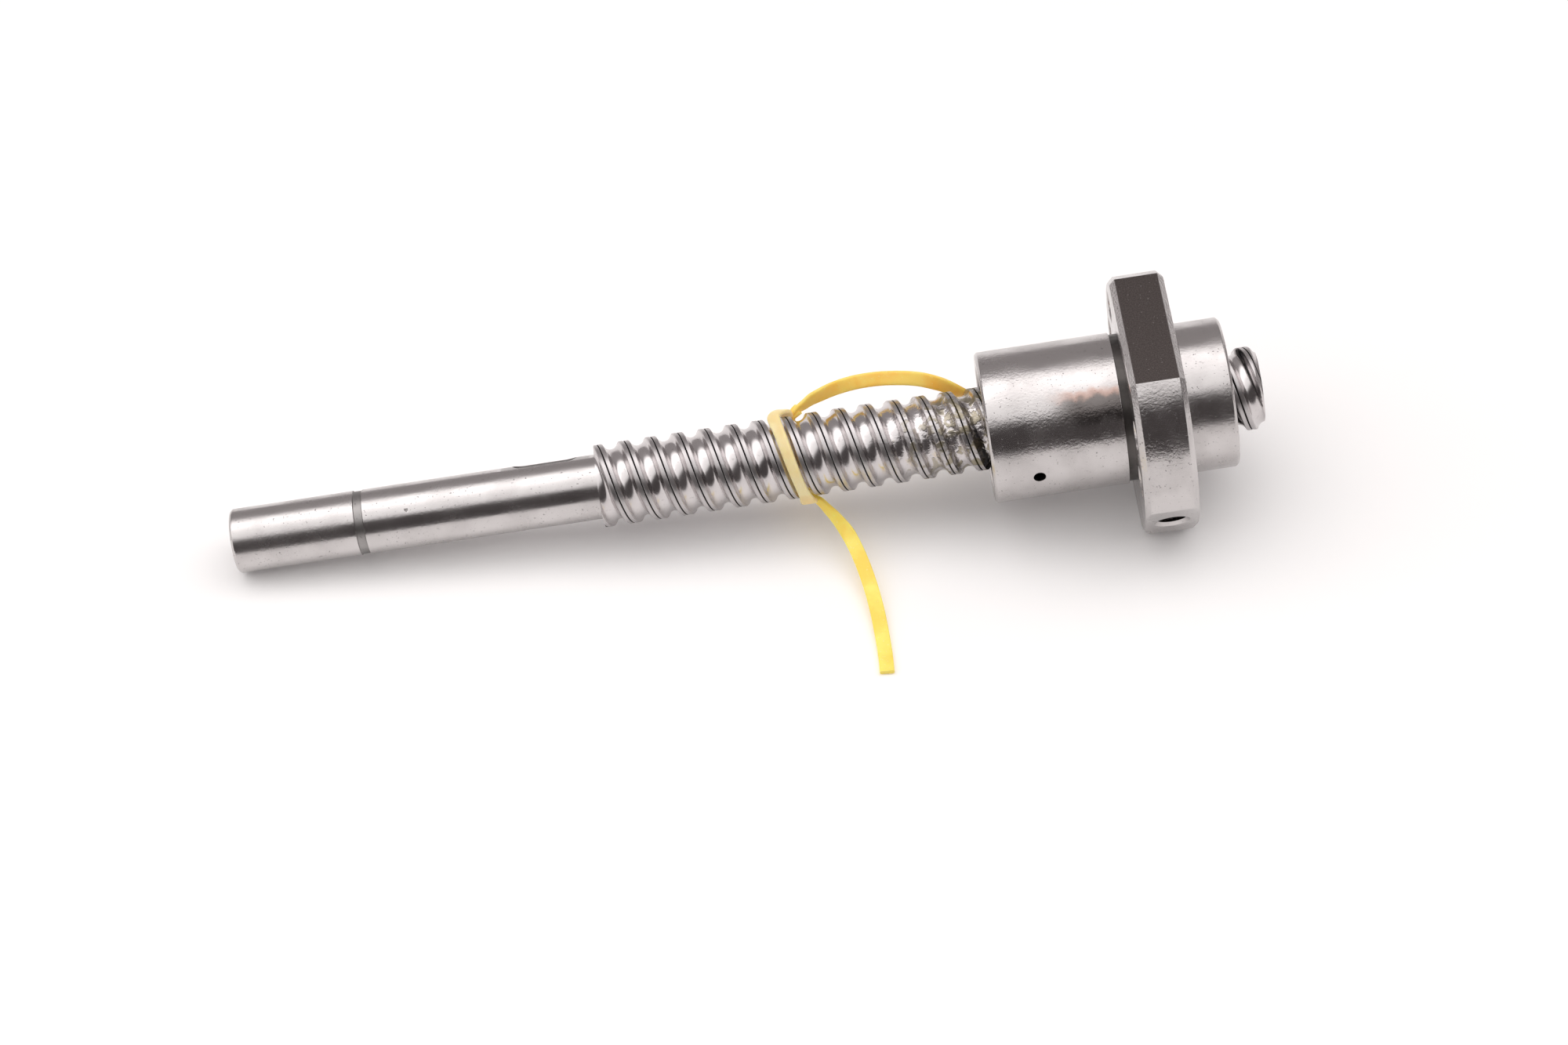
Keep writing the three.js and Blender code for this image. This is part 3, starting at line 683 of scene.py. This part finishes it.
def paint_screw(screw):
    """Flat faces and the journal get the ground finish, and what is sunk into it a darker one, as
    painted shade.
    """
    for face in screw.data.polygons:
        x = face.center.x / MM
        if abs(face.normal.x) > 0.999:
            face.material_index = 1
        elif x < THREAD_START - ROUNDING:
            sunk = math.hypot(face.center.y, face.center.z) / MM < JOURNAL_RADIUS - 0.03
            face.material_index = 2 if sunk and x > JOURNAL_CHAMFER else 1


def make_screw():
    screw = journal_object()
    join_thread(screw)
    mark_thread(screw)
    ground = turned_steel(
        "journal_finish", (0.60, 0.575, 0.57), (0.54, 0.515, 0.51), 0.19, 0.28, 1.4e-5
    )
    # Painted shade: a dark copy of the journal's steel for the ring groove, keyway and dimple.
    sunk = turned_steel("groove_painted_shade", (0.33, 0.315, 0.31), (0.24, 0.23, 0.225), 0.34, 0.46)
    dress(screw, thread_steel(), ground, sunk)
    paint_screw(screw)
    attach(screw, "screw")
    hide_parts("screw_shaft")


# ---------------------------------------------------------------- nut

def flange_outline(radius, flat, steps=40):
    """Points (y, z) round a disc with two flats."""
    half = math.asin(flat / radius)
    points = []
    for middle in (0, math.pi):
        for k in range(steps + 1):
            angle = middle - half + 2 * half * k / steps
            points.append((radius * math.cos(angle), radius * math.sin(angle)))
    return points


def flange_object():
    """The flange as a stack of outlines, each given by its x and how far it is drawn in."""
    c = FLANGE_CHAMFER
    soft = 0.08
    rows = [
        (FLANGE_LEFT, c + soft), (FLANGE_LEFT + 0.03, c), (FLANGE_LEFT + c, 0.05),
        (FLANGE_LEFT + c + soft, 0), (FLANGE_RIGHT - c - soft, 0), (FLANGE_RIGHT - c, 0.05),
        (FLANGE_RIGHT - 0.03, c), (FLANGE_RIGHT, c + soft),
    ]
    rings = [
        [Vector((x, y, z)) for y, z in flange_outline(FLANGE_RADIUS - d, FLANGE_FLAT - d)]
        for x, d in rows
    ]
    count = len(rings[0])
    points = [p for ring in rings for p in ring]
    faces = [tuple(range(count)), tuple(range(len(points) - count, len(points)))]
    for row in range(len(rings) - 1):
        for k in range(count):
            a, b = row * count + k, row * count + (k + 1) % count
            faces.append((a, b, b + count, a + count))
    return new_object("flange", points, faces)


def inside_of_nut():
    """The hollows of the CAD nut as one solid, to cut the fine nut with."""
    inside = rod(NUT_LEFT + VOID_MARGIN, NUT_RIGHT - VOID_MARGIN, VOID_RADIUS, segments=64)
    hollow = new_object("hollow", *inside)
    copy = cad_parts["nut_body"].copy()
    copy.data = copy.data.copy()
    copy.parent = None
    copy.name = "nut_copy"
    # Without its properties the copy isn't taken for a CAD node.
    for key in list(copy.keys()):
        del copy[key]
    bpy.context.scene.collection.objects.link(copy)
    clean(copy, merge=2e-7)
    cut(hollow, copy)
    return hollow


def port_cutters():
    """The lubrication port's spot flat, threaded hole and countersink."""
    place = radial((FLANGE_LEFT + FLANGE_RIGHT) / 2, PORT_ANGLE)
    thread = PORT_THREAD
    turns = [(PORT_FLOOR, 0)]
    at = PORT_FLOOR
    while at < PORT_FLAT:
        turns += [(at, thread["core"]), (at + thread["pitch"] / 2, thread["outer"])]
        at += thread["pitch"]
    turns += [(at, thread["core"]), (at, 0)]
    sink = thread["mouth"] - thread["core"]
    mouth = turned([
        (PORT_FLAT - sink, 0), (PORT_FLAT - sink, thread["core"]), (PORT_FLAT, thread["mouth"]),
        (PORT_FLAT + 2, thread["mouth"] + 2), (PORT_FLAT + 2, 0),
    ], segments=48)
    half = (FLANGE_RIGHT - FLANGE_LEFT) / 2 + 2
    # The spot flat's cutter is a box, as wide as the flange and a little more.
    corners = [Vector((PORT_FLAT + a, b * half, c * 14)) for a in (0, 4) for b in (-1, 1)
               for c in (-1, 1)]
    box = [(0, 1, 3, 2), (4, 5, 7, 6), (0, 1, 5, 4), (2, 3, 7, 6), (0, 2, 6, 4), (1, 3, 7, 5)]
    return [
        new_object("port_spot", *placed((corners, box), place)),
        new_object("port_thread", *placed(turned(turns, segments=48), place)),
        new_object("port_mouth", *placed(mouth, place)),
    ]


def bolt_cutter(angle):
    """One bolt hole, chamfered at both faces of the flange."""
    r = BOLT_HOLE_RADIUS
    mouth = r + CUT_PAST + BOLT_HOLE_CHAMFER
    profile = [
        (FLANGE_LEFT - CUT_PAST, 0), (FLANGE_LEFT - CUT_PAST, mouth),
        (FLANGE_LEFT + BOLT_HOLE_CHAMFER, r), (FLANGE_RIGHT - BOLT_HOLE_CHAMFER, r),
        (FLANGE_RIGHT + CUT_PAST, mouth), (FLANGE_RIGHT + CUT_PAST, 0),
    ]
    place = Matrix.Translation(around(0, BOLT_CIRCLE_RADIUS, math.radians(angle)))
    return new_object("bolt_cutter", *placed(turned(profile, segments=48), place))


def seat_cutter(face, side):
    """The counterbore at one end; side is 1 at the left end and -1 at the right."""
    outside = face - side * CUT_PAST
    floor = face + side * SEAT_DEPTH
    profile = [
        (outside, 0), (outside, SEAT_RADIUS + CUT_PAST + SEAT_CHAMFER),
        (face + side * SEAT_CHAMFER, SEAT_RADIUS), (floor, SEAT_RADIUS), (floor, 0),
    ]
    return new_object("seat_cutter", *turned(profile, segments=96))


def wall_cutter():
    """The small hole in the barrel."""
    pin = rod(9, NUT_RADIUS + 2, WALL_HOLE["radius"], segments=32)
    place = radial(WALL_HOLE["x"], WALL_HOLE["angle"])
    return new_object("wall_cutter", *placed(pin, place))


def barrel_object():
    """The barrel and the spigot in one, narrower beside the flange, with softened end chamfers."""
    r = NUT_RADIUS
    s = SPIGOT_RADIUS
    relief = FLANGE_LEFT - RELIEF_WIDTH
    spigot = FLANGE_RIGHT + SPIGOT_RELIEF_WIDTH
    profile = [
        (NUT_LEFT, 0), (NUT_LEFT, r - 0.5), (NUT_LEFT + 0.05, r - 0.42),
        (NUT_LEFT + 0.42, r - 0.05), (NUT_LEFT + 0.55, r), (WALL_HOLE_ROWS[0], r),
        (WALL_HOLE_ROWS[1], r), (relief - 0.05, r), (relief, r - 0.08),
        (relief + 0.05, RELIEF_RADIUS), (HIDDEN_STEP[0], RELIEF_RADIUS),
        (HIDDEN_STEP[1], SPIGOT_RELIEF_RADIUS), (spigot - 0.02, SPIGOT_RELIEF_RADIUS),
        (spigot, s - 0.05), (spigot + 0.06, s), (NUT_RIGHT - 0.6, s),
        (NUT_RIGHT - 0.44, s - 0.07), (NUT_RIGHT - 0.06, s - 0.44), (NUT_RIGHT, s - 0.55),
        (NUT_RIGHT, 0),
    ]
    return new_object("nut_body_fine", *turned(profile))


def make_nut():
    nut = barrel_object()
    cut(nut, flange_object(), "UNION")
    cut(nut, inside_of_nut())
    cut(nut, seat_cutter(NUT_LEFT, 1))
    cut(nut, seat_cutter(NUT_RIGHT, -1))
    for angle in BOLT_ANGLES:
        cut(nut, bolt_cutter(angle))
    for cutter in port_cutters():
        cut(nut, cutter)
    cut(nut, wall_cutter())
    clean(nut, merge=2e-7)
    ground = turned_steel(
        "nut_finish", (0.58, 0.555, 0.55), (0.51, 0.485, 0.48), 0.17, 0.28, 5e-5
    )
    # Painted shade: a dark copy of the nut's steel for its hollows, reliefs, wall hole and port
    # thread.
    sunk = turned_steel(
        "nut_bore_painted_shade", (0.13, 0.12, 0.115), (0.07, 0.065, 0.062), 0.34, 0.5
    )
    dress(nut, smear_barrel(ground), milled_steel(), sunk)
    paint_nut(nut)
    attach(nut, "nut")
    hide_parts("nut_body")


def from_line(point, x, direction):
    """How far a point is from the line along a direction through an x on the screw's axis."""
    gap = point - Vector((x, 0, 0))
    return (gap - gap.dot(direction) * direction).length


def paint_nut(nut):
    """The flats get the milled finish, and the hollows and reliefs a darker one, as painted shade.
    """
    port_x = (FLANGE_LEFT + FLANGE_RIGHT) / 2
    port_out = around(0, 1, PORT_ANGLE)
    wall_out = around(0, 1, WALL_HOLE["angle"])
    spigot = FLANGE_RIGHT + SPIGOT_RELIEF_WIDTH
    for face in nut.data.polygons:
        centre = face.center / MM
        x = centre.x
        corners = [nut.data.vertices[v].co / MM for v in face.vertices]
        radius = max(math.hypot(c.y, c.z) for c in corners)
        outward = face.normal.dot(Vector((0, centre.y, centre.z)).normalized())
        inside = radius < VOID_RADIUS + 0.1 and NUT_LEFT + 0.3 < x < NUT_RIGHT - 0.3
        beside_flange = FLANGE_LEFT - RELIEF_WIDTH - 0.02 < x < FLANGE_LEFT - 0.01
        beside_spigot = FLANGE_RIGHT + 0.01 < x < spigot + 0.02
        off_hole = from_line(centre, WALL_HOLE["x"], wall_out)
        off_port = from_line(centre, port_x, port_out)
        port_height = centre.dot(port_out)
        if abs(face.normal.z) > 0.999 and abs(abs(centre.z) - FLANGE_FLAT) < 0.05:
            face.material_index = 1
        # Painted shade: the hollows, reliefs, wall hole and port thread get the dark copy.
        elif inside and outward < 0.5:
            face.material_index = 2
        elif radius < RELIEF_REACH and (beside_flange or beside_spigot):
            face.material_index = 2
        elif off_hole < WALL_HOLE["radius"] + 0.01 and abs(face.normal.dot(wall_out)) < 0.5:
            face.material_index = 2
        elif off_port < PORT_THREAD["outer"] and PORT_FLOOR - 2 < port_height < PORT_FLAT - 1.2:
            face.material_index = 2


# ---------------------------------------------------------------- balls, deflectors, seals

def make_balls():
    """A round ball in place of each faceted one."""
    mesh = bpy.data.meshes.new("ball")
    work = bmesh.new()
    bmesh.ops.create_icosphere(work, subdivisions=4, radius=BALL_RADIUS * MM)
    work.to_mesh(mesh)
    work.free()
    mesh.polygons.foreach_set("use_smooth", [True] * len(mesh.polygons))
    mesh.materials.append(ball_steel())
    for name in sorted(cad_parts):
        if not name.startswith("ball_") or "deflector" in name:
            continue
        low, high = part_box(name)
        ball = bpy.data.objects.new(name + "_smooth", mesh)
        ball.location = (low + high) / 2
        bpy.context.scene.collection.objects.link(ball)
        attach(ball, "nut")
        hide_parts(name)


def dress_cad_nodes():
    """The sealed parts and the seals keep their CAD shapes and get finished materials."""
    finishes = {
        "deflector": moulded("deflector_finish", (0.10, 0.10, 0.11), (0.16, 0.16, 0.17)),
        "wiper": moulded("wiper_finish", (0.035, 0.035, 0.04), (0.07, 0.07, 0.075)),
        "snap_ring": turned_steel(
            "snap_ring_finish", (0.24, 0.23, 0.22), (0.15, 0.14, 0.135), 0.3, 0.42
        ),
    }
    for name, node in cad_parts.items():
        for kind, finish in finishes.items():
            if kind in name:
                dress(node, finish)


# ---------------------------------------------------------------- rubber strip

def band(name, line, across, widths, thickness, closed=False):
    """A rubber band along a line. Its section is a rounded rectangle, and its width lies along the
    across directions."""
    sides = 20
    count = len(line)
    points = []
    for k, at in enumerate(line):
        ahead = line[(k + 1) % count] if closed or k + 1 < count else line[k]
        behind = line[k - 1] if closed or k else line[0]
        tangent = Vector(ahead - behind).normalized()
        wide = Vector(across[k])
        wide = (wide - tangent * wide.dot(tangent)).normalized()
        thick = tangent.cross(wide)
        for s in range(sides):
            angle = FULL_TURN * (s + 0.5) / sides
            c, d = math.cos(angle), math.sin(angle)
            w = math.copysign(abs(c) ** 0.35, c) * widths[k] / 2
            t = math.copysign(abs(d) ** 0.6, d) * thickness / 2
            points.append(Vector(at) + wide * w + thick * t)
    faces = []
    for k in range(count if closed else count - 1):
        for s in range(sides):
            a, b = k * sides + s, k * sides + (s + 1) % sides
            c = ((k + 1) % count) * sides
            faces.append((a, b, c + (s + 1) % sides, c + s))
    if not closed:
        faces.append(tuple(range(sides)))
        faces.append(tuple(range((count - 1) * sides, count * sides)))
    return new_object(name, points, faces, smooth_angle=50)


def groove_x(line, angle):
    """Where a numbered groove line is along X at an angle."""
    return GROOVE_PHASE + PITCH * line + LEAD * angle / FULL_TURN


def smoothstep(value, low, high):
    t = min(1.0, max(0.0, (value - low) / (high - low)))
    return t * t * (3 - 2 * t)


def make_loop(finish):
    """The loop follows a groove down the near side and crosses two ridges on the far side."""
    knots = [(k[0], k[1] if k[1] else groove_x(LOOP_LINE, math.radians(k[0])), *k[2:])
             for k in LOOP_KNOTS]
    line, across, widths = [], [], []
    for angle, x, radius, tilt, width in smooth_line(knots, 140)[:-1]:
        turn = math.radians(angle)
        line.append(np.array(around(x, radius, turn)))
        across.append(Vector((1, 0, 0)) + around(0, 1, turn) * tilt)
        widths.append(width)
    loop = band("strip_loop_band", line, across, widths, STRIP_THICKNESS, closed=True)
    dress(loop, finish)
    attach(loop, "screw")
    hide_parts("strip_loop")


def make_length(name, route, across, widths, count, thickness, finish):
    """A length of the strip along a route, and the line it follows."""
    line = smooth_line(route, count)
    piece = band(name, line, smooth_line(across, count), smooth_line(widths, count), thickness)
    dress(piece, finish)
    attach(piece, "screw")
    return piece, line


def make_tail(name, node, route, across, widths, finish):
    """A free tail of the strip."""
    tail, line = make_length(name, route, across, widths, 90, STRIP_THICKNESS, finish)
    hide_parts(node)
    return tail


def make_knot(name, route, across, widths, finish):
    """A short length of the strip that joins a tail to the loop."""
    make_length(name, route, across, widths, 24, STRIP_THICKNESS + 0.04, finish)


def make_strip():
    """The loop, its two tails and the two short lengths that join them."""
    golden = rubber("tail_rubber", (0.97, 0.68, 0.17), (0.93, 0.54, 0.09))
    lemon = rubber("lower_tail_rubber", (0.97, 0.78, 0.17), (0.94, 0.66, 0.11))
    cream = rubber("loop_rubber", (0.90, 0.74, 0.42), (0.84, 0.64, 0.31))
    make_loop(cream)
    broad = Vector((0.15, 0.74, 0.65))
    edge = Vector((0.03, -0.66, 0.75))
    twist = [72, 64, 56, 48, 40, 24, 8, 0, 0, 8, 24, 36, 48, 62, 72]
    across = [broad * math.cos(math.radians(t)) + edge * math.sin(math.radians(t)) for t in twist]
    upper = make_tail("strip_tail_upper_band", "strip_tail_upper", UPPER_TAIL, across,
                      [1.8, 2.1, 2.4, 2.6] + [STRIP_WIDTH] * (len(UPPER_TAIL) - 4), golden)
    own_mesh(upper)
    make_knot("strip_knot_upper", UPPER_KNOT, [broad] * 4, [1.5, 1.8, 2.0, 2.2], golden)
    steep = Vector((0.6, -0.2, 0.9))
    flat = Vector((1, 0, FLOOR_SLOPE))
    across = [steep.lerp(flat, smoothstep(k, 0, 9)) for k in range(len(LOWER_TAIL))]
    make_tail("strip_tail_lower_band", "strip_tail_lower", LOWER_TAIL, across,
              [1.7, 1.9, 2.1, 2.3, 2.5] + [STRIP_WIDTH] * (len(LOWER_TAIL) - 5), lemon)
    make_knot("strip_knot_lower", LOWER_KNOT, [steep] * 5, [2.2, 1.6, 1.5, 1.75, 1.9], lemon)


# ---------------------------------------------------------------- stage

def make_stage():
    """A plain white floor."""
    corners = [
        (FLOOR_LEFT, -FLOOR_HALF_DEPTH), (FLOOR_RIGHT, -FLOOR_HALF_DEPTH),
        (FLOOR_RIGHT, FLOOR_HALF_DEPTH), (FLOOR_LEFT, FLOOR_HALF_DEPTH),
    ]
    points = [(x, y, FLOOR_HEIGHT + FLOOR_SLOPE * x) for x, y in corners]
    floor = new_object("floor", points, [(0, 1, 2, 3)])
    made, tree, shader = new_material(
        "floor_finish", Roughness=0.6, Emission_Color=(1, 0.98, 0.975, 1),
    )
    where = add(tree, "ShaderNodeTexCoord").outputs["Object"]
    tone = ranged(tree, noise_of(tree, where, 4.0), 0.3, 0.7)
    tree.links.new(mixed(tree, tone, (0.93, 0.915, 0.91), (0.96, 0.95, 0.945)),
                   shader.inputs["Base Color"])
    distance = add(tree, "ShaderNodeVectorMath", {0: where}, operation="LENGTH").outputs["Value"]
    glow = ranged(tree, distance, *FLOOR_GLOW.values())
    tree.links.new(glow, shader.inputs["Emission Strength"])
    dress(floor, made)
    if floor.data.polygons[0].normal.z < 0:
        floor.data.flip_normals()


def make_soft_box():
    """A wide soft box overhead whose brightness fades towards its front and back edges."""
    data = bpy.data.lights.new("soft_box", "AREA")
    data.shape = "RECTANGLE"
    data.size = SOFT_BOX["width"]
    data.size_y = SOFT_BOX["depth"]
    data.energy = SOFT_BOX["power"]
    data.color = (1, 0.985, 0.98)
    data.use_nodes = True
    tree = data.node_tree
    across = add(tree, "ShaderNodeNewGeometry").outputs["Parametric"]
    share = add(tree, "ShaderNodeSeparateXYZ", {"Vector": across}).outputs["Y"]
    levels = add(tree, "ShaderNodeValToRGB", {"Fac": share})
    ramp = levels.color_ramp
    ramp.interpolation = "B_SPLINE"
    for at, level in SOFT_BOX_LEVELS:
        stop = ramp.elements.new(at)
        stop.color = (level, level, level, 1)
    ramp.elements.remove(ramp.elements[0])
    ramp.elements.remove(ramp.elements[-1])
    tree.links.new(levels.outputs["Color"], tree.nodes["Emission"].inputs["Color"])
    light = bpy.data.objects.new("soft_box", data)
    bpy.context.scene.collection.objects.link(light)
    light.location = SOFT_BOX["place"]


def make_light():
    """A soft box overhead, a dark room in front of it and a grey wall behind."""
    make_soft_box()
    world = bpy.data.worlds.new("room")
    bpy.context.scene.world = world
    world.use_nodes = True
    tree = world.node_tree
    background = tree.nodes["Background"]
    where = add(tree, "ShaderNodeTexCoord").outputs["Generated"]
    y = add(tree, "ShaderNodeSeparateXYZ", {"Vector": where}).outputs["Y"]
    room = mixed(tree, ranged(tree, y, -0.25, 0.3), (0.075, 0.066, 0.066), (0.36, 0.335, 0.335))
    seen = add(tree, "ShaderNodeLightPath").outputs["Is Camera Ray"]
    tree.links.new(mixed(tree, seen, room, (0.97, 0.965, 0.965)), background.inputs["Color"])


make_camera()
make_strip()
make_screw()
make_nut()
make_balls()
dress_cad_nodes()
make_stage()
make_light()
bpy.context.scene.view_settings.view_transform = "Standard"
